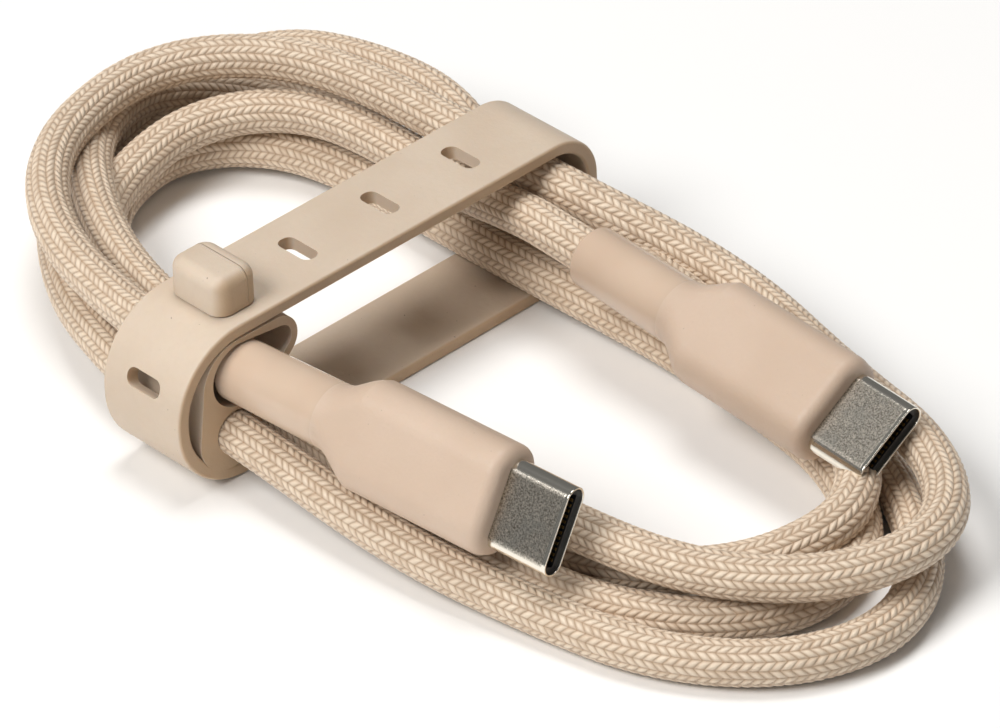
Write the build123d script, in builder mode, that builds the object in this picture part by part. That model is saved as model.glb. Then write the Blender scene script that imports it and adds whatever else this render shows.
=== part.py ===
from build123d import *
import math
import os

# A braided charging cable with a USB-C plug on each end, wound into a loose
# oval coil and tied with a one-piece silicone strap that has a stud and slots.
# Millimetres, +Z up, floor at z = 0. +X runs along the coil towards the plug
# tips, +Y runs along the strap from the near bundle to the far bundle. The
# origin is the bottom centre of the box round the strap and both plugs.

os.makedirs("parts", exist_ok=True)

# ---------------------------------------------------------------- cable
CABLE_D = 4.2
CORE_D = 3.6                 # jacket under the braid, where a plug takes it
GAP = 0.1                    # air left between neighbouring soft and hard parts

# ---------------------------------------------------------------- strap
STRAP_X = -23.5              # middle of the strap's width
STRAP_WIDTH = 10.0
BAND_T = 1.3
BAND_TOP_Z = 15.8            # upper face of the band over the coil
BAND_FAR_Y = 25.8            # outermost face at the far bundle
BAND_NEAR_Y = -25.8          # outermost face of the tail at the near bundle
FAR_TOP_R = 4.6              # centre-line radii of the band's bends
FAR_BOTTOM_R = 4.2
TAIL_R = 7.0
TAIL_END_Y = -16.7
ROOT_RISE_Y = -16.3
ROOT_FLOOR_Y = -13.5
ROOT_Z = 2.05
SLOT_LENGTH = 4.2            # along X
SLOT_WIDTH = 1.8             # along the band
SLOT_PITCH = 10.0
STUD_Y = -16.6
STUD_HEAD = (6.9, 4.9, 3.7)
STUD_NECK = (3.9, 1.5)
STUD_NECK_FOOT_Z = 14.0      # in the roof of the neck loop
STUD_CORNER_R = 1.5
STUD_TOP_R = 1.2

# holder block moulded on the inner end of the strap: circles (y, z, radius)
CLIP_BORE = (-19.3, 5.1)     # tight bore round one strand
CLIP_BODY = (-19.8, 5.06, 3.6)
NECK_LOOP = ((-18.7, 10.4, 4.0), (-18.0, 10.4, 4.0), (-13.9, 11.95, 2.4))
NECK_OPENING = ((-18.4, 10.75, 3.2), (-17.5, 10.75, 3.05), (-13.6, 11.95, 1.4))

# ---------------------------------------------------------------- plug
# plug frame: +X to the tip, Y across the width, origin where the shell leaves
# the housing
SHELL_W = 8.25
SHELL_T = 2.40
SHELL_WALL = 0.20
SHELL_OUT = 6.4
SHELL_IN = 4.5
MOUTH_RECESS = 0.35
CAVITY_W = 6.7
CAVITY_T = 0.9
CAVITY_BACK = 0.6
CONTACTS = 12
CONTACT_PITCH = 0.5
CONTACT_W = 0.25
CONTACT_T = 0.12
BOARD_W = 7.6
BOARD_T = 0.6
BOARD_X = (-13.5, -4.4)
CAN_W = 8.3
CAN_T = 3.6
CAN_WALL = 0.2
CAN_X = (-13.9, -4.6)
MOULD_W = 9.0
MOULD_T = 4.9
MOULD_R = 2.2
MOULD_X = (-15.4, -1.0)
HOUSING_W = 10.2
HOUSING_T = 6.2
HOUSING_R = 2.7
HOUSING_L = 20.0
SHOULDER_X = -15.6
FRONT_R = 1.1
NECK_D = 6.2
NECK_END_D = 5.9
NECK_L = 11.5
FERRULE_D = 5.0
FERRULE_X = (-19.8, -16.0)
WIRE_D = 0.5
WIRE_SLOT = (4.0, 2.2)

# base point, yaw, pitch and roll of each plug
PLUG_A = ((11.8, -15.3, 10.45), 4.75, -0.5, 59.5)
PLUG_B = ((22.0, 14.9, 9.25), -2.0, -2.1, 34.0)

# ---------------------------------------------------------------- coil
# plan outlines as the belt round two circles: (x, y, radius) left and right
COIL_OUTER = ((-43.4, 2.3, 24.0), (20.0, 3.0, 22.6))
COIL_INNER = ((-43.1, 3.4, 11.8), (17.1, 3.2, 10.6))
COIL_TOP_Z = 14.0            # over the strap and to its left
COIL_RIGHT_Z = 9.2           # at the right end
# cable centres (y, z) of the two bundles the strap ties
NEAR_BUNDLE = ((-13.9, 3.9), (-10.2, 3.45), (-12.0, 7.3))
FAR_BUNDLE = ((20.8, 12.3), (21.9, 8.4), (21.9, 4.3), (17.5, 8.8), (17.7, 3.5))
BUNDLE_R = 1.9
LEAD_B_START = (16.3, 10.6)  # (y, z) where the far plug's lead leaves the strap
LEAD_B_STRAIGHT = 4.0
LEAD_GAP = 0.3
GUTTER_BACK = 8.8


def plug_location(base, yaw, pitch, roll):
    """Place of a plug frame: its +X along the plug, turned by roll about it."""
    y, p, r = (math.radians(a) for a in (yaw, pitch, roll))
    axis = Vector(math.cos(y) * math.cos(p), math.sin(y) * math.cos(p), math.sin(p))
    level = Vector(-math.sin(y), math.cos(y), 0)
    face = axis.cross(level) * math.cos(r) - level * math.sin(r)
    return Plane(origin=base, x_dir=axis, z_dir=face).location


def write(part, label):
    part.label = label
    export_step(part, f"parts/{label}.step")


def across(x):
    """Plane across the plug at x: its local x is the width, its local y the thickness."""
    return Plane.YZ.offset(x)


# ================================================================ plug pieces

with BuildPart() as shell:
    with BuildSketch(across(-SHELL_IN)):
        SlotOverall(SHELL_W, SHELL_T)
        SlotOverall(SHELL_W - 2 * SHELL_WALL, SHELL_T - 2 * SHELL_WALL, mode=Mode.SUBTRACT)
    extrude(amount=SHELL_IN + SHELL_OUT)
    rim = shell.edges().group_by(Axis.X)[-1]
    fillet(rim, radius=0.09)

with BuildPart() as contacts_upper:
    for row in range(CONTACTS):
        y = (row - (CONTACTS - 1) / 2) * CONTACT_PITCH
        with BuildSketch(Plane.XZ.offset(-y - CONTACT_W / 2)):
            with BuildLine():
                low = BOARD_T / 2
                high = low + CONTACT_T
                Polyline(
                    (-6.0, low), (4.3, low), (5.0, low - 0.1), (5.6, low), (5.9, low),
                    (5.9, high), (5.5, high), (5.0, high - 0.1), (4.4, high), (-6.0, high),
                    close=True,
                )
            make_face()
        extrude(amount=CONTACT_W)

with BuildPart() as contacts_lower:
    mirror(contacts_upper.part, about=Plane.XY)

with BuildPart() as latch_plate:
    with BuildSketch(Plane.XY.offset(-0.075)):
        with Locations(((-4.2 + CAVITY_BACK) / 2, 0)):
            Rectangle(CAVITY_BACK + 4.2, CAVITY_W)
    extrude(amount=0.15)
    for side in (1, -1):
        with BuildSketch(Plane.XY.offset(-0.3)):
            with BuildLine():
                outer = side * CAVITY_W / 2
                Polyline(
                    (-1.0, outer), (5.5, outer), (5.5, outer - side * 0.2), (5.1, outer - side * 0.42),
                    (4.6, outer - side * 0.2), (-1.0, outer - side * 0.2),
                    close=True,
                )
            make_face()
        extrude(amount=0.6)

with BuildPart() as ground_springs:
    for side in (1, -1):
        with BuildSketch(Plane.XY.offset(side * 0.94)):
            with Locations((3.9, 0)):
                Rectangle(2.8, 5.6)
            with GridLocations(0, 1.4, 1, 4):
                with Locations((3.7, 0)):
                    Rectangle(1.6, 0.5, mode=Mode.SUBTRACT)
        extrude(amount=0.06, both=True)

with BuildPart() as insulator:
    with BuildSketch(across(-4.3)):
        SlotOverall(SHELL_W - 2 * SHELL_WALL, SHELL_T - 2 * SHELL_WALL)
    extrude(amount=4.3 + SHELL_OUT - MOUTH_RECESS)
    with BuildSketch(across(CAVITY_BACK)):
        RectangleRounded(CAVITY_W, CAVITY_T, 0.2)
    extrude(amount=SHELL_OUT, mode=Mode.SUBTRACT)
    add(contacts_upper.part, mode=Mode.SUBTRACT)
    add(contacts_lower.part, mode=Mode.SUBTRACT)
    add(latch_plate.part, mode=Mode.SUBTRACT)
    add(ground_springs.part, mode=Mode.SUBTRACT)

with BuildPart() as circuit_board:
    with BuildSketch(Plane.XY.offset(-BOARD_T / 2)):
        with Locations(((BOARD_X[0] + BOARD_X[1]) / 2, 0)):
            RectangleRounded(BOARD_X[1] - BOARD_X[0], BOARD_W, 0.5)
    extrude(amount=BOARD_T)

with BuildPart() as marker_chip:
    with BuildSketch(Plane.XY.offset(BOARD_T / 2)):
        with Locations((-9.0, 0.6)):
            Rectangle(2.4, 2.4)
    extrude(amount=0.6)
    chamfer(marker_chip.faces().sort_by(Axis.Z)[-1].edges(), length=0.1)

with BuildPart() as chip_parts:
    with BuildSketch(Plane.XY.offset(-BOARD_T / 2)):
        with Locations((-9.0, 0)):
            with GridLocations(1.6, 1.9, 2, 3):
                Rectangle(1.0, 0.5)
    extrude(amount=-0.5)

with BuildPart() as shield_can:
    with BuildSketch(across(CAN_X[0])):
        RectangleRounded(CAN_W, CAN_T, 0.8)
    extrude(amount=CAN_X[1] - CAN_X[0])
    with BuildSketch(across(CAN_X[0] + CAN_WALL)):
        RectangleRounded(CAN_W - 2 * CAN_WALL, CAN_T - 2 * CAN_WALL, 0.6)
    extrude(amount=CAN_X[1] - CAN_X[0], mode=Mode.SUBTRACT)
    with BuildSketch(across(CAN_X[0])):
        Rectangle(*WIRE_SLOT)
    extrude(amount=CAN_WALL, mode=Mode.SUBTRACT)

with BuildPart() as shield_upper:
    add(shield_can.part)
    split(bisect_by=Plane.XY, keep=Keep.TOP)

with BuildPart() as shield_lower:
    add(shield_can.part)
    split(bisect_by=Plane.XY, keep=Keep.BOTTOM)

with BuildPart() as core_tail:
    with BuildSketch(across(-HOUSING_L - NECK_L)):
        Circle(CORE_D / 2)
    extrude(amount=HOUSING_L + NECK_L - 15.8)

with BuildPart() as ferrule:
    with BuildSketch(across(FERRULE_X[0])):
        Circle(FERRULE_D / 2)
        Circle(CORE_D / 2, mode=Mode.SUBTRACT)
    extrude(amount=FERRULE_X[1] - FERRULE_X[0])
    with BuildSketch(across(-17.9)):
        Circle(FERRULE_D / 2)
        Circle(FERRULE_D / 2 - 0.25, mode=Mode.SUBTRACT)
    extrude(amount=0.4, both=True, mode=Mode.SUBTRACT)

with BuildPart() as wires:
    for level in (1, -1):
        with BuildSketch(across(-15.8)):
            with Locations((0, level * (BOARD_T + WIRE_D) / 2)):
                with GridLocations(0.75, 0, 4, 1):
                    Circle(WIRE_D / 2)
        extrude(amount=3.4)

with BuildPart() as inner_mould:
    with BuildSketch(across(MOULD_X[0])):
        RectangleRounded(MOULD_W, MOULD_T, MOULD_R)
    extrude(amount=MOULD_X[1] - MOULD_X[0])
    with BuildSketch(across(CAN_X[0])):
        RectangleRounded(CAN_W, CAN_T, 0.8)
    extrude(amount=CAN_X[1] - CAN_X[0], mode=Mode.SUBTRACT)
    with BuildSketch(across(CAN_X[1])):
        SlotOverall(SHELL_W, SHELL_T)
    extrude(amount=MOULD_X[1] - CAN_X[1], mode=Mode.SUBTRACT)
    with BuildSketch(across(MOULD_X[0])):
        Rectangle(*WIRE_SLOT)
    extrude(amount=CAN_X[0] - MOULD_X[0], mode=Mode.SUBTRACT)

with BuildPart() as housing:
    with BuildSketch(across(-HOUSING_L)):
        RectangleRounded(NECK_D, NECK_D, NECK_D / 2 - 0.02)
    with BuildSketch(across(-HOUSING_L + 1.2)):
        RectangleRounded(NECK_D + 0.4, NECK_D - 0.02, NECK_D / 2 - 0.1)
    with BuildSketch(across(SHOULDER_X - 1.0)):
        RectangleRounded(HOUSING_W - 0.9, HOUSING_T - 0.02, HOUSING_R + 0.2)
    with BuildSketch(across(SHOULDER_X)):
        RectangleRounded(HOUSING_W, HOUSING_T, HOUSING_R)
    loft()
    with BuildSketch(across(SHOULDER_X)):
        RectangleRounded(HOUSING_W, HOUSING_T, HOUSING_R)
    extrude(amount=-SHOULDER_X)
    fillet(housing.faces().sort_by(Axis.X)[-1].edges(), radius=FRONT_R)
    with BuildSketch(across(MOULD_X[0])):
        RectangleRounded(MOULD_W, MOULD_T, MOULD_R)
    extrude(amount=MOULD_X[1] - MOULD_X[0], mode=Mode.SUBTRACT)
    with BuildSketch(across(MOULD_X[1])):
        SlotOverall(SHELL_W, SHELL_T)
    extrude(amount=-MOULD_X[1], mode=Mode.SUBTRACT)
    with BuildSketch(across(-HOUSING_L)):
        Circle(FERRULE_D / 2)
    extrude(amount=HOUSING_L + MOULD_X[0], mode=Mode.SUBTRACT)

with BuildPart() as strain_relief:
    with BuildSketch(across(-HOUSING_L - NECK_L)):
        Circle(NECK_END_D / 2)
    with BuildSketch(across(-HOUSING_L)):
        Circle(NECK_D / 2)
    loft()
    fillet(strain_relief.faces().sort_by(Axis.X)[0].edges(), radius=0.4)
    with BuildSketch(across(-HOUSING_L - NECK_L)):
        Circle(CORE_D / 2)
    extrude(amount=NECK_L, mode=Mode.SUBTRACT)

PLUG_PIECES = {
    "shell": shell,
    "insulator": insulator,
    "contacts_upper": contacts_upper,
    "contacts_lower": contacts_lower,
    "latch_plate": latch_plate,
    "ground_springs": ground_springs,
    "circuit_board": circuit_board,
    "marker_chip": marker_chip,
    "chip_parts": chip_parts,
    "shield_upper": shield_upper,
    "shield_lower": shield_lower,
    "wires": wires,
    "core_tail": core_tail,
    "ferrule": ferrule,
    "inner_mould": inner_mould,
    "housing": housing,
    "strain_relief": strain_relief,
}

for end, place in (("plug_a", PLUG_A), ("plug_b", PLUG_B)):
    for name, piece in PLUG_PIECES.items():
        write(piece.part.moved(plug_location(*place)), f"{end}_{name}")

# ================================================================ strap

band_mid_top = BAND_TOP_Z - BAND_T / 2
band_mid_floor = BAND_T / 2
band_mid_far = BAND_FAR_Y - BAND_T / 2
band_mid_near = BAND_NEAR_Y + BAND_T / 2

with BuildLine(Plane.YZ.offset(STRAP_X)) as band_path:
    FilletPolyline(
        (CLIP_BORE[0], ROOT_Z),
        (ROOT_RISE_Y, ROOT_Z),
        (ROOT_FLOOR_Y, band_mid_floor),
        (band_mid_far, band_mid_floor),
        (band_mid_far, band_mid_top),
        (band_mid_near, band_mid_top),
        (band_mid_near, band_mid_floor),
        (TAIL_END_Y, band_mid_floor),
        radius=[1.0, 2.0, FAR_BOTTOM_R, FAR_TOP_R, TAIL_R, TAIL_R],
    )


def tail_point(distance):
    """Point and outward direction on the tail's upper bend, a distance past the stud."""
    bend_y = band_mid_near + TAIL_R
    angle = (distance - (STUD_Y - bend_y)) / TAIL_R
    out = Vector(0, -math.sin(angle), math.cos(angle))
    centre = Vector(STRAP_X, bend_y, band_mid_top - TAIL_R)
    return centre + out * TAIL_R, out


with BuildPart() as stud_head:
    with BuildSketch(Plane.XY.offset(BAND_TOP_Z + 0.15)):
        with Locations((STRAP_X, STUD_Y)):
            RectangleRounded(STUD_HEAD[0], STUD_HEAD[1], STUD_CORNER_R)
    extrude(amount=STUD_HEAD[2])
    fillet(stud_head.faces().sort_by(Axis.Z)[-1].edges(), radius=STUD_TOP_R)

with BuildPart() as strap:
    with BuildSketch(Plane(origin=band_path.line @ 0, x_dir=(1, 0, 0), z_dir=band_path.line % 0)):
        RectangleRounded(STRAP_WIDTH, BAND_T, 0.3)
    sweep(path=band_path.line)
    # holder block: a loop for the plug's neck over a tight bore for one strand
    for circles in (NECK_LOOP, (NECK_LOOP[0], CLIP_BODY)):
        with BuildSketch(Plane.YZ.offset(STRAP_X - STRAP_WIDTH / 2)):
            for y, z, radius in circles:
                with Locations((y, z)):
                    Circle(radius)
            make_hull()
        extrude(amount=STRAP_WIDTH)
    with BuildSketch(Plane.YZ.offset(STRAP_X - STRAP_WIDTH / 2)):
        for y, z, radius in NECK_OPENING:
            with Locations((y, z)):
                Circle(radius)
        make_hull()
    extrude(amount=STRAP_WIDTH, mode=Mode.SUBTRACT)
    with BuildSketch(Plane.YZ.offset(STRAP_X - STRAP_WIDTH / 2)):
        with Locations(CLIP_BORE):
            Circle(CABLE_D / 2 + 0.02)
    extrude(amount=STRAP_WIDTH, mode=Mode.SUBTRACT)
    # slots along the top of the band, the first one round the stud's neck
    with BuildSketch(Plane.XY.offset(BAND_TOP_Z - BAND_T - GAP / 2)):
        for step in range(4):
            with Locations((STRAP_X, STUD_Y + step * SLOT_PITCH)):
                RectangleRounded(SLOT_LENGTH, SLOT_WIDTH, 0.8)
    extrude(amount=BAND_T + GAP, mode=Mode.SUBTRACT)
    # one more slot on the tail, where it bends down past the near bundle
    slot_centre, slot_out = tail_point(SLOT_PITCH)
    with BuildSketch(Plane(origin=slot_centre, x_dir=(1, 0, 0), z_dir=slot_out)):
        RectangleRounded(SLOT_LENGTH, SLOT_WIDTH, 0.8)
    extrude(amount=BAND_T, both=True, mode=Mode.SUBTRACT)
    # stud: a neck on the holder that passes up through the first slot, and a head
    with BuildSketch(Plane.XY.offset(STUD_NECK_FOOT_Z)):
        with Locations((STRAP_X, STUD_Y)):
            Rectangle(*STUD_NECK)
    extrude(amount=BAND_TOP_Z + 0.4 - STUD_NECK_FOOT_Z)
    add(stud_head.part)

write(strap.part, "strap")

# ================================================================ coil


def belt(circles, height):
    """Solid of a belt outline round two circles, standing on the floor."""
    with BuildPart() as solid:
        with BuildSketch():
            for x, y, radius in circles:
                with Locations((x, y)):
                    Circle(radius)
            make_hull()
        extrude(amount=height)
    return solid.part


def plug_channel(place):
    """Space over and round one plug: a gutter with upright sides, open at the top."""
    base, yaw, pitch, _ = place
    location = plug_location(base, yaw, pitch, 0)
    neck_end = -HOUSING_L - NECK_L
    spans = (
        (neck_end - GUTTER_BACK, neck_end, 5.9),
        (neck_end, -HOUSING_L, 3.7),
        (-HOUSING_L, SHELL_OUT + 12, 6.3),
    )
    with BuildPart() as gutter:
        for start, stop, radius in spans:
            with BuildSketch(across(start)):
                Circle(radius)
                Rectangle(2 * radius, 20, align=(Align.CENTER, Align.MIN))
            extrude(amount=stop - start)
    return gutter.part.moved(location)


pocket_x = (STRAP_X - STRAP_WIDTH / 2 - GAP, STRAP_X + STRAP_WIDTH / 2 + GAP)
pocket_length = pocket_x[1] - pocket_x[0]
slope = math.degrees(math.atan((COIL_TOP_Z - COIL_RIGHT_Z) / (COIL_OUTER[1][0] - pocket_x[1])))
top_plane = Plane(origin=(pocket_x[1], 0, COIL_TOP_Z), z_dir=(math.sin(math.radians(slope)), 0,
                                                             math.cos(math.radians(slope))))

with BuildPart() as cable_coil:
    add(belt(COIL_OUTER, COIL_TOP_Z))
    add(belt(COIL_INNER, COIL_TOP_Z), mode=Mode.SUBTRACT)
    split(bisect_by=top_plane, keep=Keep.BOTTOM)
    # the strap's width is cut clear, then the two tied bundles are put back
    with BuildSketch(Plane.YZ.offset(pocket_x[0])):
        Rectangle(80, 80)
    extrude(amount=pocket_length, mode=Mode.SUBTRACT)
    for bundle in (NEAR_BUNDLE, FAR_BUNDLE):
        with BuildSketch(Plane.YZ.offset(pocket_x[0] - 1)):
            with Locations(*bundle):
                Circle(BUNDLE_R)
            make_hull()
        extrude(amount=pocket_length + 2)
    add(plug_channel(PLUG_A), mode=Mode.SUBTRACT)
    add(plug_channel(PLUG_B), mode=Mode.SUBTRACT)

write(cable_coil.part, "cable_coil")


def tube(points):
    """Cable along a route: straight runs joined by arcs as large as the runs allow."""
    points = [Vector(*p) for p in points]
    runs = [b - a for a, b in zip(points, points[1:])]
    radii = []
    for before, after in zip(runs, runs[1:]):
        half_turn = math.radians(before.get_angle(after)) / 2
        radii.append(0.45 * min(before.length, after.length) / math.tan(half_turn))
    with BuildLine() as route:
        if radii:
            FilletPolyline(*points, radius=radii)
        else:
            Line(*points)
    path = route.wires()[0]
    with BuildPart() as cable:
        with BuildSketch(Plane(origin=points[0], z_dir=runs[0])):
            Circle(CABLE_D / 2)
        sweep(path=path)
    section = math.pi * CABLE_D ** 2 / 4
    print("radii", [round(r, 1) for r in radii], "length", round(path.length, 2),
          "volume / section x length", round(cable.part.volume / (section * path.length), 4))
    return cable.part


clip_z = CLIP_BORE[1]
write(tube([(pocket_x[0], CLIP_BORE[0], clip_z), (pocket_x[1], CLIP_BORE[0], clip_z)]), "cable_in_clip")

neck_ends = []
for base, yaw, pitch, roll in (PLUG_A, PLUG_B):
    neck_ends.append((plug_location(base, yaw, pitch, roll) * Pos(-HOUSING_L - NECK_L, 0, 0)).position)
along = [(Vector(*place[0]) - end).normalized() for place, end in zip((PLUG_A, PLUG_B), neck_ends)]

# inside the holder's loop: straight back from the near plug to the coil's face
reach_a = (neck_ends[0].X - pocket_x[0] - LEAD_GAP) / along[0].X
write(tube([tuple(neck_ends[0]), tuple(neck_ends[0] - along[0] * reach_a)]), "cable_lead_a")

# from the far bundle's face into the far plug's neck
lead_b = [
    (pocket_x[1] + LEAD_GAP, *LEAD_B_START),
    tuple(neck_ends[1] - along[1] * LEAD_B_STRAIGHT),
    tuple(neck_ends[1]),
]
write(tube(lead_b), "cable_lead_b")
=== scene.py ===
import math

import bpy
import numpy as np
from mathutils import Matrix, Vector


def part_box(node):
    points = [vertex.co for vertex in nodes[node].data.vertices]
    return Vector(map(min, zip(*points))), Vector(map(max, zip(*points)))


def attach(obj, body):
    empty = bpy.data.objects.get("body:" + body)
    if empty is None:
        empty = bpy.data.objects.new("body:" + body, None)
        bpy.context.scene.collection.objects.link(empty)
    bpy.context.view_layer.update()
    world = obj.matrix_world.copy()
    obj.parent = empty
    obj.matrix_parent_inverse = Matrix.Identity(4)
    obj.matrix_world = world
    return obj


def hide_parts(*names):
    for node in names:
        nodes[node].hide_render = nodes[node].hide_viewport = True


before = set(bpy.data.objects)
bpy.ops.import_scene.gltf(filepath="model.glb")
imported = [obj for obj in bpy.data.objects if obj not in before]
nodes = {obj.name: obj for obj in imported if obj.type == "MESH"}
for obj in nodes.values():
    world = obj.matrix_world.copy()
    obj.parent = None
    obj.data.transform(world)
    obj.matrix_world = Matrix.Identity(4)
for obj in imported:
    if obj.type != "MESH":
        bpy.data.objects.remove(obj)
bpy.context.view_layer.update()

MM = 0.001

# ---------------------------------------------------------------- the object's own places
strap_low, strap_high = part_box("strap")
STRAP_EDGES = (strap_low.x, strap_high.x)
CABLE_D = 4.2 * MM

# base point (mm), yaw, pitch and roll (degrees) of each plug, as the model has them
PLUG_PLACES = {
    "plug_a": ((11.8, -15.3, 10.45), 4.75, -0.5, 59.5),
    "plug_b": ((22.0, 14.9, 9.25), -2.0, -2.1, 34.0),
}
HOUSING_L = 20.0
NECK_L = 11.5
SHELL_OUT = 6.4


def plug_frame(end):
    """A plug's matrix in metres: its X to the tip, Y across the width, Z off the flat face."""
    base, yaw, pitch, roll = PLUG_PLACES[end]
    y, p, r = (math.radians(a) for a in (yaw, pitch, roll))
    axis = Vector((math.cos(y) * math.cos(p), math.sin(y) * math.cos(p), math.sin(p)))
    level = Vector((-math.sin(y), math.cos(y), 0))
    face = axis.cross(level) * math.cos(r) - level * math.sin(r)
    across = face.cross(axis)
    turned = Matrix((axis, across, face)).transposed().to_4x4()
    return Matrix.Translation(Vector(base) * MM) @ turned


# ---------------------------------------------------------------- materials

class Nodes:
    """A material's node tree with short ways to add maths, noise and ramps."""

    def __init__(self, name, material=None):
        self.material = material or bpy.data.materials.new(name)
        self.material.use_nodes = True
        self.tree = self.material.node_tree
        self.shader = self.tree.nodes["Principled BSDF"]

    def add(self, kind, **settings):
        node = self.tree.nodes.new(kind)
        for key, value in settings.items():
            setattr(node, key, value)
        return node

    def feed(self, socket, value):
        if isinstance(value, bpy.types.NodeSocket):
            self.tree.links.new(value, socket)
        else:
            socket.default_value = value

    def math(self, operation, a, b=0.0, c=0.0):
        node = self.add("ShaderNodeMath", operation=operation)
        for socket, value in zip(node.inputs, (a, b, c)):
            self.feed(socket, value)
        return node.outputs[0]

    def mix(self, factor, first, second):
        node = self.add("ShaderNodeMix", data_type="RGBA")
        self.feed(node.inputs[0], factor)
        self.feed(node.inputs[6], first)
        self.feed(node.inputs[7], second)
        return node.outputs[2]

    def noise(self, scale, detail=2.0, rough=0.5, vector=None, distortion=0.0):
        node = self.add("ShaderNodeTexNoise")
        node.inputs["Scale"].default_value = scale
        node.inputs["Detail"].default_value = detail
        node.inputs["Roughness"].default_value = rough
        node.inputs["Distortion"].default_value = distortion
        self.feed(node.inputs["Vector"], self.place() if vector is None else vector)
        return node.outputs["Fac"]

    def place(self):
        return self.add("ShaderNodeTexCoord").outputs["Object"]

    def ramp(self, value, low, high):
        node = self.add("ShaderNodeMapRange")
        node.interpolation_type = "SMOOTHSTEP"
        for socket, number in zip(node.inputs, (value, low, high, 0.0, 1.0)):
            self.feed(socket, number)
        return node.outputs[0]

    def bump(self, height, distance, strength=1.0, under=None):
        node = self.add("ShaderNodeBump")
        node.inputs["Strength"].default_value = strength
        node.inputs["Distance"].default_value = distance
        self.feed(node.inputs["Height"], height)
        if under is not None:
            self.feed(node.inputs["Normal"], under)
        return node.outputs["Normal"]

    def set(self, **values):
        for key, value in values.items():
            self.feed(self.shader.inputs[key.replace("_", " ")], value)


def moulded(name, colour, shade, roughness, grain, specks=0.0, soft=0.0, painted_edge_shade=None):
    """A moulded surface: fine grain, faint clouding of the colour and a few specks.

    Faces that look along the strap's width, where the sheet shows its thickness, take
    a deeper, warmer colour: painted shade standing in for the light that passes through the silicone
    there."""
    m = Nodes(name)
    clouds = m.noise(90.0, 3.0)
    fine = m.noise(grain, 4.0, 0.6)
    tint = m.mix(m.ramp(clouds, 0.3, 0.7), (*shade, 1), (*colour, 1))
    tint = m.mix(m.math("MULTIPLY", m.ramp(fine, 0.35, 0.75), 0.25), tint, (*shade, 1))
    # painted shade: faces seen edge-on turn towards a deeper, warmer colour standing in for light
    # passing through the silicone
    if painted_edge_shade:
        split = m.add("ShaderNodeSeparateXYZ")
        m.feed(split.inputs[0], m.add("ShaderNodeNewGeometry").outputs["Normal"])
        sideways = m.ramp(m.math("ABSOLUTE", split.outputs["X"]), 0.25, 0.95)
        tint = m.mix(m.math("MULTIPLY", sideways, 0.75), tint, (*painted_edge_shade, 1))
    if specks:
        dots = m.noise(2600.0, 1.0)
        tint = m.mix(m.math("MULTIPLY", m.ramp(dots, 0.78, 0.82), specks), tint, (0.14, 0.10, 0.07, 1))
    m.set(Base_Color=tint, Roughness=m.math("ADD", m.math("MULTIPLY", fine, 0.16), roughness - 0.08))
    m.set(Normal=m.bump(fine, 0.00004, 0.8, m.bump(clouds, 0.00008, 0.25)))
    if soft:
        m.set(Subsurface_Weight=soft, Subsurface_Scale=0.001, Subsurface_Radius=(1.0, 0.55, 0.3))
    return m.material


def relief_material(end):
    """The strain relief: satin, with a fine raised parting line down both narrow sides."""
    m = Nodes(f"{end}_relief_satin")
    inverse = plug_frame(end).inverted()
    local = m.add("ShaderNodeVectorMath", operation="DOT_PRODUCT")
    m.feed(local.inputs[0], m.place())
    local.inputs[1].default_value = inverse[2].xyz
    off_plane = m.math("ABSOLUTE", m.math("ADD", local.outputs["Value"], inverse[2].w))
    line = m.math("SUBTRACT", 1.0, m.ramp(off_plane, 0.00004, 0.00014))
    fine = m.noise(2400.0, 3.0)
    clouds = m.noise(120.0, 2.0)
    tint = m.mix(m.ramp(clouds, 0.3, 0.7), (0.59, 0.445, 0.335, 1), (0.63, 0.485, 0.37, 1))
    tint = m.mix(m.math("MULTIPLY", line, 0.35), tint, (0.42, 0.29, 0.2, 1))
    m.set(Base_Color=tint, Roughness=m.math("ADD", m.math("MULTIPLY", fine, 0.1), 0.17))
    m.set(Normal=m.bump(line, 0.00006, 0.7, m.bump(fine, 0.00002, 0.35)))
    m.set(Subsurface_Weight=0.12, Subsurface_Scale=0.001, Subsurface_Radius=(1.0, 0.55, 0.3))
    return m.material


def shell_material(end):
    """Plated steel: blasted grain on the two flats, polished round the edges and the rim."""
    m = Nodes(f"{end}_shell_plated")
    place = plug_frame(end)
    normal = m.add("ShaderNodeNewGeometry").outputs["Normal"]
    facing = m.add("ShaderNodeVectorMath", operation="DOT_PRODUCT")
    m.feed(facing.inputs[0], normal)
    facing.inputs[1].default_value = place.col[2].xyz
    flat = m.ramp(m.math("ABSOLUTE", facing.outputs["Value"]), 0.90, 0.985)
    # the last third of a millimetre at the mouth is polished all round
    along = m.add("ShaderNodeVectorMath", operation="DOT_PRODUCT")
    m.feed(along.inputs[0], m.place())
    along.inputs[1].default_value = place.col[0].xyz
    mouth = place.col[0].xyz.dot(place.translation) + SHELL_OUT * MM
    inside = m.math("SUBTRACT", 1.0, m.ramp(along.outputs["Value"], mouth - 0.00045, mouth - 0.00030))
    flat = m.math("MULTIPLY", flat, inside)
    grain = m.noise(6400.0, 3.0, 0.7)
    stain = m.noise(420.0, 3.0)
    dull = m.mix(m.ramp(grain, 0.32, 0.68), (0.20, 0.18, 0.15, 1), (0.74, 0.685, 0.595, 1))
    dull = m.mix(m.math("MULTIPLY", m.ramp(stain, 0.45, 0.75), 0.4), dull, (0.38, 0.385, 0.36, 1))
    m.set(Base_Color=m.mix(flat, (0.86, 0.82, 0.73, 1), dull), Metallic=1.0)
    m.set(Roughness=m.math("ADD", m.math("MULTIPLY", flat, 0.14), 0.15))
    m.set(Normal=m.bump(m.math("MULTIPLY", grain, flat), 0.00002, 0.6))
    return m.material


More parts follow.
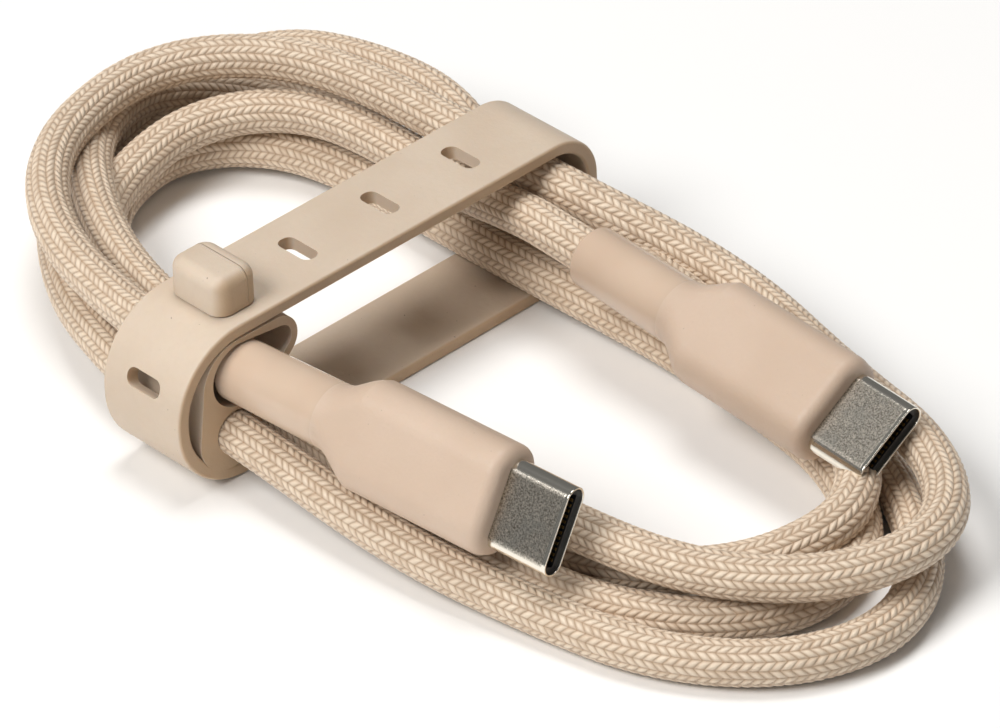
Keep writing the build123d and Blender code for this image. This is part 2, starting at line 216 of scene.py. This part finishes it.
def braid_material(pitch_count, row_count):
    """Woven yarn. U counts stitches along the cable and V counts rows round it."""
    m = Nodes("braid_sand_yarn")
    uv = m.add("ShaderNodeUVMap", uv_map="weave").outputs["UV"]
    split = m.add("ShaderNodeSeparateXYZ")
    m.feed(split.inputs[0], uv)
    along = m.math("MULTIPLY", split.outputs["X"], pitch_count)
    around = m.math("MULTIPLY", split.outputs["Y"], row_count)
    row = m.math("FLOOR", around)
    across = m.math("SUBTRACT", m.math("FRACT", around), 0.5)
    lean = m.math("SUBTRACT", m.math("MULTIPLY", m.math("MODULO", row, 2.0), 2.0), 1.0)
    slanted = m.math("ADD", along, m.math("MULTIPLY", m.math("MULTIPLY", lean, across), STITCH_SLANT))
    stitch = m.math("SUBTRACT", m.math("FRACT", slanted), 0.5)
    wide = m.math("MULTIPLY", m.math("ABSOLUTE", across), 2.0)
    long = m.math("MULTIPLY", m.math("ABSOLUTE", stitch), 2.0)
    crown = m.math("MULTIPLY", m.math("SUBTRACT", 1.0, m.math("POWER", long, 2.2)),
                   m.math("SUBTRACT", 1.0, m.math("POWER", wide, 3.0)))
    # each stitch is a little lighter or darker than the next
    cell = m.add("ShaderNodeCombineXYZ")
    m.feed(cell.inputs[0], m.math("FLOOR", slanted))
    m.feed(cell.inputs[1], row)
    dye = m.add("ShaderNodeTexWhiteNoise", noise_dimensions="2D")
    m.feed(dye.inputs["Vector"], cell.outputs[0])
    # filaments run along each stitch
    strand = m.add("ShaderNodeCombineXYZ")
    m.feed(strand.inputs[0], m.math("MULTIPLY", slanted, 11.0))
    m.feed(strand.inputs[1], m.math("MULTIPLY", around, 1.5))
    filament = m.noise(1.0, 2.0, 0.6, vector=strand.outputs[0])
    # painted shade darkens the grooves between stitches and a painted highlight lightens each stitch's
    # crown; middle is the yarn's own colour
    painted_groove_shade = (0.35, 0.225, 0.135, 1)
    middle = (0.575, 0.43, 0.305, 1)
    light = (0.83, 0.695, 0.545, 1)
    tint = m.mix(m.ramp(crown, -0.05, 0.20), painted_groove_shade, middle)
    # each stitch's own dye, plus a painted highlight that grows towards its crown
    tone = m.math("ADD", m.math("MULTIPLY", dye.outputs["Value"], 0.35), m.math("MULTIPLY", crown, 0.75))
    tint = m.mix(m.ramp(tone, 0.25, 1.05), tint, light)
    tint = m.mix(m.math("MULTIPLY", m.ramp(filament, 0.40, 0.70), 0.28), tint, middle)
    m.set(Base_Color=tint, Roughness=m.math("ADD", m.math("MULTIPLY", filament, 0.2), 0.34))
    coarse = m.bump(crown, 0.00014, 0.75)
    m.set(Normal=m.bump(filament, 0.00005, 0.6, coarse))
    m.set(Sheen_Weight=0.35, Sheen_Roughness=0.4, Sheen_Tint=(1.0, 0.93, 0.85, 1))
    m.set(Specular_IOR_Level=0.45)
    return m.material


def plain(name, colour, roughness, metallic=0.0, grain=1500.0, vary=0.25):
    """An inner piece's finish: one colour, clouded and lightly grained."""
    m = Nodes(name)
    fine = m.noise(grain, 3.0)
    darker = tuple(c * (1 - vary) for c in colour)
    m.set(Base_Color=m.mix(fine, (*darker, 1), (*colour, 1)), Metallic=metallic)
    m.set(Roughness=m.math("ADD", m.math("MULTIPLY", fine, 0.15), roughness - 0.07))
    m.set(Normal=m.bump(fine, 0.00002, 0.4))
    return m.material


def paint(node_name, material):
    for slot in nodes[node_name].material_slots:
        slot.material = material


# ---------------------------------------------------------------- cable
# One row per half turn, in the order the cable runs. Millimetres. Each has the side of
# the strap it is on, where its near leg ends, its outermost point and where its far leg
# starts, how square each quarter is, and a further point on a leg where one bows.
LEFT, RIGHT = -1, 1
HALF_TURNS = [
    (LEFT, (-33.6, -17.9, 9.7), (-62, 4.9, 10.2), (-42.4, 20.4, 11.9), 1.0, 1.0, None, None),
    (RIGHT, (14.7, -10.2, 6.5), (38.7, 8, 7), (17.1, 21.3, 7), 1.0, 1.0, None, (-0.6, 25.4, 7.6)),
    (LEFT, (-29.3, -14.1, 7.6), (-64.4, 8, 6.3), (-45.6, 21.7, 5), 1.2, 1.0, None, None),
    (RIGHT, (15.7, -16.9, 2.1), (40.5, 2.2, 2.1), (10.9, 21.8, 2.1), 1.0, 1.1, (2.1, -19.5, 3.3),
     (-1.6, 22.3, 2.6)),
    (LEFT, (-32.5, -19.6, 5), (-65.3, 7, 2.3), (-47.1, 24.5, 10.2), 1.25, 1.0, None,
     (-36.6, 24.6, 10.8)),
    (RIGHT, (2.9, -11.5, 2.1), (29.8, 6.4, 5.2), (8.8, 19.4, 6.1), 1.0, 1.0, None, None),
    (LEFT, (-32.7, -11.4, 2.4), (-59, 6.3, 2.1), (-43.5, 18, 3), 1.0, 1.0, None, None),
    (RIGHT, (10.1, -14.4, 2.1), (33.0, 2.2, 2.1), (9.4, 18.2, 2.3), 1.0, 1.0, None,
     (-3.1, 18.8, 2.7)),
    (LEFT, (-32.4, -14.4, 3.6), (-57, 5.9, 5.6), (-42.5, 18.5, 7.9), 0.95, 1.0, None, None),
]
# where each half turn passes the strap, as (y, z): a left one at its far end, a right
# one at its near end
STRAP_STATIONS = [
    (20.2, 12.0), (-12.7, 6.7), (21.9, 4.3), (-19.3, 5.1), (22.1, 8.6),
    (-10.2, 3.45), (17.6, 3.5), (-13.9, 3.9), (17.6, 8.2),
]
STRAP_CLEAR = 0.3
# control points in each quarter of a half turn, and how far (mm) the cable runs straight
# on behind each neck, with the place where it leaves the coil for the far plug
QUARTER_STEPS = 3
LEAD_A_BACK = (4.0, 8.5)
LEAD_B = (-18.2, 16.3, 10.6)
LEAD_B_STRAIGHT = 4.0
LINE_STEPS = 24


def half_turn(side, near, crown, far, near_shape, far_shape):
    """Points round one end of the coil, near leg to far leg: two quarters of an oval."""
    points = []
    for step in range(-QUARTER_STEPS, QUARTER_STEPS + 1):
        angle = math.radians(90 * step / QUARTER_STEPS)
        leg, shape = (near, near_shape) if step < 0 else (far, far_shape)
        out = abs(math.cos(angle)) ** shape
        along = abs(math.sin(angle)) ** shape
        points.append((
            leg[0] + (crown[0] - leg[0]) * out,
            crown[1] + (leg[1] - crown[1]) * along,
            crown[2] + (leg[2] - crown[2]) * along,
        ))
    return points


def cable_route():
    """The cable's control points, from the near plug's neck to the far plug's neck."""
    neck = -(HOUSING_L + NECK_L) * MM
    start, end = plug_frame("plug_a"), plug_frame("plug_b")
    left_edge, right_edge = (STRAP_EDGES[0] / MM - STRAP_CLEAR, STRAP_EDGES[1] / MM + STRAP_CLEAR)
    points = []
    for row, (y, z) in zip(HALF_TURNS, STRAP_STATIONS):
        side, near, crown, far, near_shape, far_shape, near_leg, far_leg = row
        turn = half_turn(side, near, crown, far, near_shape, far_shape)
        turn = [p for p in (near_leg, *turn, far_leg) if p]
        edges = (left_edge, right_edge)
        if side == RIGHT:
            turn.reverse()
            edges = (right_edge, left_edge)
        points += turn + [(x, y, z) for x in edges]
    points.pop()
    points.append(LEAD_B)
    points = [Vector(p) * MM for p in points]
    first = [start @ Vector((neck - back * MM, 0, 0)) for back in (0, *LEAD_A_BACK)]
    last = [end @ Vector((neck - back * MM, 0, 0)) for back in (LEAD_B_STRAIGHT, 0)]
    return first + points + last


def smooth_line(points):
    """Points along the NURBS spline that has these control points."""
    curve = bpy.data.curves.new("cable_line", "CURVE")
    curve.dimensions = "3D"
    curve.resolution_u = LINE_STEPS
    spline = curve.splines.new("NURBS")
    spline.points.add(len(points) - 1)
    for knot, point in zip(spline.points, points):
        knot.co = (*point, 1)
    spline.order_u = 3
    spline.use_endpoint_u = True
    holder = bpy.data.objects.new("cable_line", curve)
    mesh = bpy.data.meshes.new_from_object(holder)
    line = np.empty(len(mesh.vertices) * 3)
    mesh.vertices.foreach_get("co", line)
    bpy.data.objects.remove(holder)
    bpy.data.meshes.remove(mesh)
    return line.reshape(-1, 3)


# the braid: a stitch's length, rows round the cable, how far a stitch leans in its row, and
# how far the skin dips between stitches
STITCH = 0.84 * MM
ROWS = 16
STITCH_SLANT = 0.85
STITCH_HEIGHT = 0.17 * MM
STITCH_DIP = 0.8
RING_STEP = 0.26 * MM
RING_SIDES = 64


def weave_height(along, around):
    """Height of the braid, 0 to 1, at stitches along the cable and rows round it."""
    row = np.floor(around)
    across = around - row - 0.5
    lean = np.mod(row, 2) * 2 - 1
    stitch = np.mod(along + lean * across * STITCH_SLANT, 1) - 0.5
    return (1 - np.abs(2 * stitch) ** 2.2) * (1 - np.abs(2 * across) ** 3)


def braided_tube(name, line, radius):
    """A tube along the line whose skin rises and falls with the braid's stitches."""
    lengths = np.concatenate([[0], np.cumsum(np.linalg.norm(np.diff(line, axis=0), axis=1))])
    rings = int(lengths[-1] / RING_STEP)
    stations = np.linspace(0, lengths[-1], rings)
    centres = np.stack([np.interp(stations, lengths, line[:, k]) for k in range(3)], axis=1)
    tangents = np.gradient(centres, axis=0)
    tangents /= np.linalg.norm(tangents, axis=1)[:, None]
    side = np.cross(tangents[0], (0, 0, 1))
    sides = np.empty_like(centres)
    for i, tangent in enumerate(tangents):
        side = side - tangent * side.dot(tangent)
        side /= np.linalg.norm(side)
        sides[i] = side
    ups = np.cross(tangents, sides)
    turn = np.arange(RING_SIDES) / RING_SIDES
    height = weave_height(stations[:, None] / STITCH, turn[None, :] * ROWS)
    reach = radius - STITCH_HEIGHT * (1 - height) * STITCH_DIP
    cos, sin = np.cos(turn * 2 * math.pi), np.sin(turn * 2 * math.pi)
    ring = sides[:, None] * cos[None, :, None] + ups[:, None] * sin[None, :, None]
    verts = centres[:, None] + ring * reach[:, :, None]
    i = np.arange(rings - 1)[:, None] * RING_SIDES
    j = np.arange(RING_SIDES)[None, :]
    k = (j + 1) % RING_SIDES
    faces = np.stack([i + j, i + k, i + k + RING_SIDES, i + j + RING_SIDES], axis=-1)
    mesh = bpy.data.meshes.new(name)
    mesh.vertices.add(verts.size // 3)
    mesh.vertices.foreach_set("co", verts.ravel())
    count = faces.size // 4
    mesh.loops.add(faces.size)
    mesh.loops.foreach_set("vertex_index", faces.ravel().astype(np.int32))
    mesh.polygons.add(count)
    mesh.polygons.foreach_set("loop_start", np.arange(count, dtype=np.int32) * 4)
    mesh.polygons.foreach_set("use_smooth", np.ones(count, dtype=bool))
    mesh.update(calc_edges=True)
    u = stations / lengths[-1]
    ring_u = np.stack([u[:-1], u[:-1], u[1:], u[1:]], axis=-1)[:, None].repeat(RING_SIDES, 1)
    side_v = np.stack([j[0], j[0] + 1, j[0] + 1, j[0]], axis=-1)[None] / RING_SIDES
    side_v = side_v.repeat(rings - 1, 0)
    layer = mesh.uv_layers.new(name="weave")
    layer.data.foreach_set("uv", np.stack([ring_u, side_v], axis=-1).ravel())
    mesh.validate()
    cable = bpy.data.objects.new(name, mesh)
    bpy.context.collection.objects.link(cable)
    mesh.materials.append(braid_material(lengths[-1] / STITCH, ROWS))
    return cable, centres, lengths[-1]


route = cable_route()
cable, centres, cable_length = braided_tube("cable", smooth_line(route), CABLE_D / 2)
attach(cable, "root")
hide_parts("cable_coil", "cable_in_clip", "cable_lead_a", "cable_lead_b")

# ---------------------------------------------------------------- finishes of the CAD pieces

SILICONE = (0.64, 0.53, 0.42)
SILICONE_SHADE = (0.59, 0.475, 0.365)
# painted shade for the strap's edge-on faces, standing in for light passing through the silicone
SILICONE_PAINTED_EDGE_SHADE = (0.50, 0.335, 0.19)
HOUSING = (0.61, 0.47, 0.365)
HOUSING_SHADE = (0.575, 0.435, 0.33)

# the moulding line on the stud (mm): its middle across the strap, and where it starts and
# reaches full height above the band
STUD_LINE_Y = -15.7
STUD_LOW_Z = 16.2
STUD_LINE_RISE = 0.2


def strap_material():
    """Matte silicone, with the fine raised line that a split mould leaves on the stud."""
    material = moulded(
        "strap_silicone_matte", SILICONE, SILICONE_SHADE, 0.55, 1700.0,
        specks=0.6, soft=0.18, painted_edge_shade=SILICONE_PAINTED_EDGE_SHADE)
    m = Nodes(material.name, material)
    split = m.add("ShaderNodeSeparateXYZ")
    m.feed(split.inputs[0], m.place())
    off_line = m.math("ABSOLUTE", m.math("SUBTRACT", split.outputs["Y"], STUD_LINE_Y * MM))
    line = m.math("SUBTRACT", 1.0, m.ramp(off_line, 0.00005, 0.00016))
    above = m.ramp(split.outputs["Z"], STUD_LOW_Z * MM, (STUD_LOW_Z + STUD_LINE_RISE) * MM)
    line = m.math("MULTIPLY", line, above)
    under = m.shader.inputs["Normal"].links[0].from_socket
    m.set(Normal=m.bump(line, 0.00012, 1.0, under))
    return material


paint("strap", strap_material())
housing_finish = moulded("housing_matte", HOUSING, HOUSING_SHADE, 0.50, 3200.0, 0.25, 0.10)
insulator_black = plain("insulator_black", (0.012, 0.012, 0.014), 0.5)
# the contacts' gold is made far darker than gold: painted shade for their place deep in the plug's mouth
gold_in_painted_shade = plain("contact_gold", (0.30, 0.20, 0.07), 0.5, 1.0)
steel = plain("spring_steel", (0.55, 0.55, 0.54), 0.32, 1.0)
INNER = {
    "insulator": insulator_black,
    "contacts_upper": gold_in_painted_shade,
    "contacts_lower": gold_in_painted_shade,
    "latch_plate": steel,
    "ground_springs": steel,
    "shield_upper": steel,
    "shield_lower": steel,
    "ferrule": steel,
    "circuit_board": plain("board_green", (0.02, 0.13, 0.06), 0.35),
    "marker_chip": plain("chip_black", (0.02, 0.02, 0.022), 0.45),
    "chip_parts": plain("chip_ceramic", (0.50, 0.38, 0.25), 0.5),
    "wires": plain("wire_red", (0.55, 0.03, 0.02), 0.4),
    "core_tail": plain("core_jacket", (0.55, 0.42, 0.32), 0.5),
    "inner_mould": plain("inner_mould_natural", (0.72, 0.68, 0.60), 0.5),
    "housing": housing_finish,
}
for end in PLUG_PLACES:
    for piece, material in INNER.items():
        paint(f"{end}_{piece}", material)
    paint(f"{end}_shell", shell_material(end))
    paint(f"{end}_strain_relief", relief_material(end))

# ---------------------------------------------------------------- floor, lights and camera

VIEW_AZIMUTH = math.radians(46.9)
VIEW_ELEVATION = math.radians(35.4)
VIEW_TILT = math.radians(-1.94)
VIEW_TARGET = Vector((-14.54, 9.03, -0.41)) * MM
VIEW_DISTANCE = 0.62
LENS = 247.1
WORLD_STRENGTH = 0.15
WARM_WHITE = (1.0, 0.985, 0.965)


def make_floor():
    mesh = bpy.data.meshes.new("studio_floor")
    reach = 3.0
    corners = [(-reach, -reach, 0), (reach, -reach, 0), (reach, reach, 0), (-reach, reach, 0)]
    mesh.from_pydata(corners, [], [(0, 1, 2, 3)])
    floor = bpy.data.objects.new("studio_floor", mesh)
    bpy.context.collection.objects.link(floor)
    m = Nodes("floor_pale")
    tone = m.noise(14.0, 3.0)
    m.set(Base_Color=m.mix(tone, (0.93, 0.93, 0.925, 1), (0.96, 0.96, 0.955, 1)), Roughness=0.75)
    mesh.materials.append(m.material)


def area_light(name, place, size, power, colour=(1, 1, 1)):
    """A round soft light that is turned to the middle of the scene."""
    light = bpy.data.lights.new(name, "AREA")
    light.shape = "DISK"
    light.size = size
    light.energy = power
    light.color = colour
    lamp = bpy.data.objects.new(name, light)
    lamp.location = place
    lamp.rotation_euler = (-Vector(place)).to_track_quat("-Z", "Y").to_euler()
    bpy.context.collection.objects.link(lamp)


make_floor()
area_light("key", (-0.08, -0.62, 0.72), 0.5, 6.6, WARM_WHITE)
area_light("top", (-0.12, 0.12, 0.95), 0.45, 4.4, WARM_WHITE)
area_light("fill_front", (0.55, -0.75, 0.35), 0.8, 0.4)

world = bpy.data.worlds.new("studio")
world.use_nodes = True
world.node_tree.nodes["Background"].inputs[0].default_value = (1, 1, 1, 1)
world.node_tree.nodes["Background"].inputs[1].default_value = WORLD_STRENGTH
bpy.context.scene.world = world
bpy.context.scene.view_settings.view_transform = "Standard"

camera_data = bpy.data.cameras.new("camera")
camera_data.lens = LENS
camera_data.sensor_width = 36
camera_data.clip_start = 0.01
camera = bpy.data.objects.new("camera", camera_data)
back = Vector((
    math.sin(VIEW_AZIMUTH) * math.cos(VIEW_ELEVATION),
    -math.cos(VIEW_AZIMUTH) * math.cos(VIEW_ELEVATION),
    math.sin(VIEW_ELEVATION),
))
camera.location = VIEW_TARGET + back * VIEW_DISTANCE
level = (-back).to_track_quat("-Z", "Y").to_matrix()
camera.rotation_euler = (level @ Matrix.Rotation(VIEW_TILT, 3, "Z")).to_euler()
bpy.context.collection.objects.link(camera)
bpy.context.scene.camera = camera
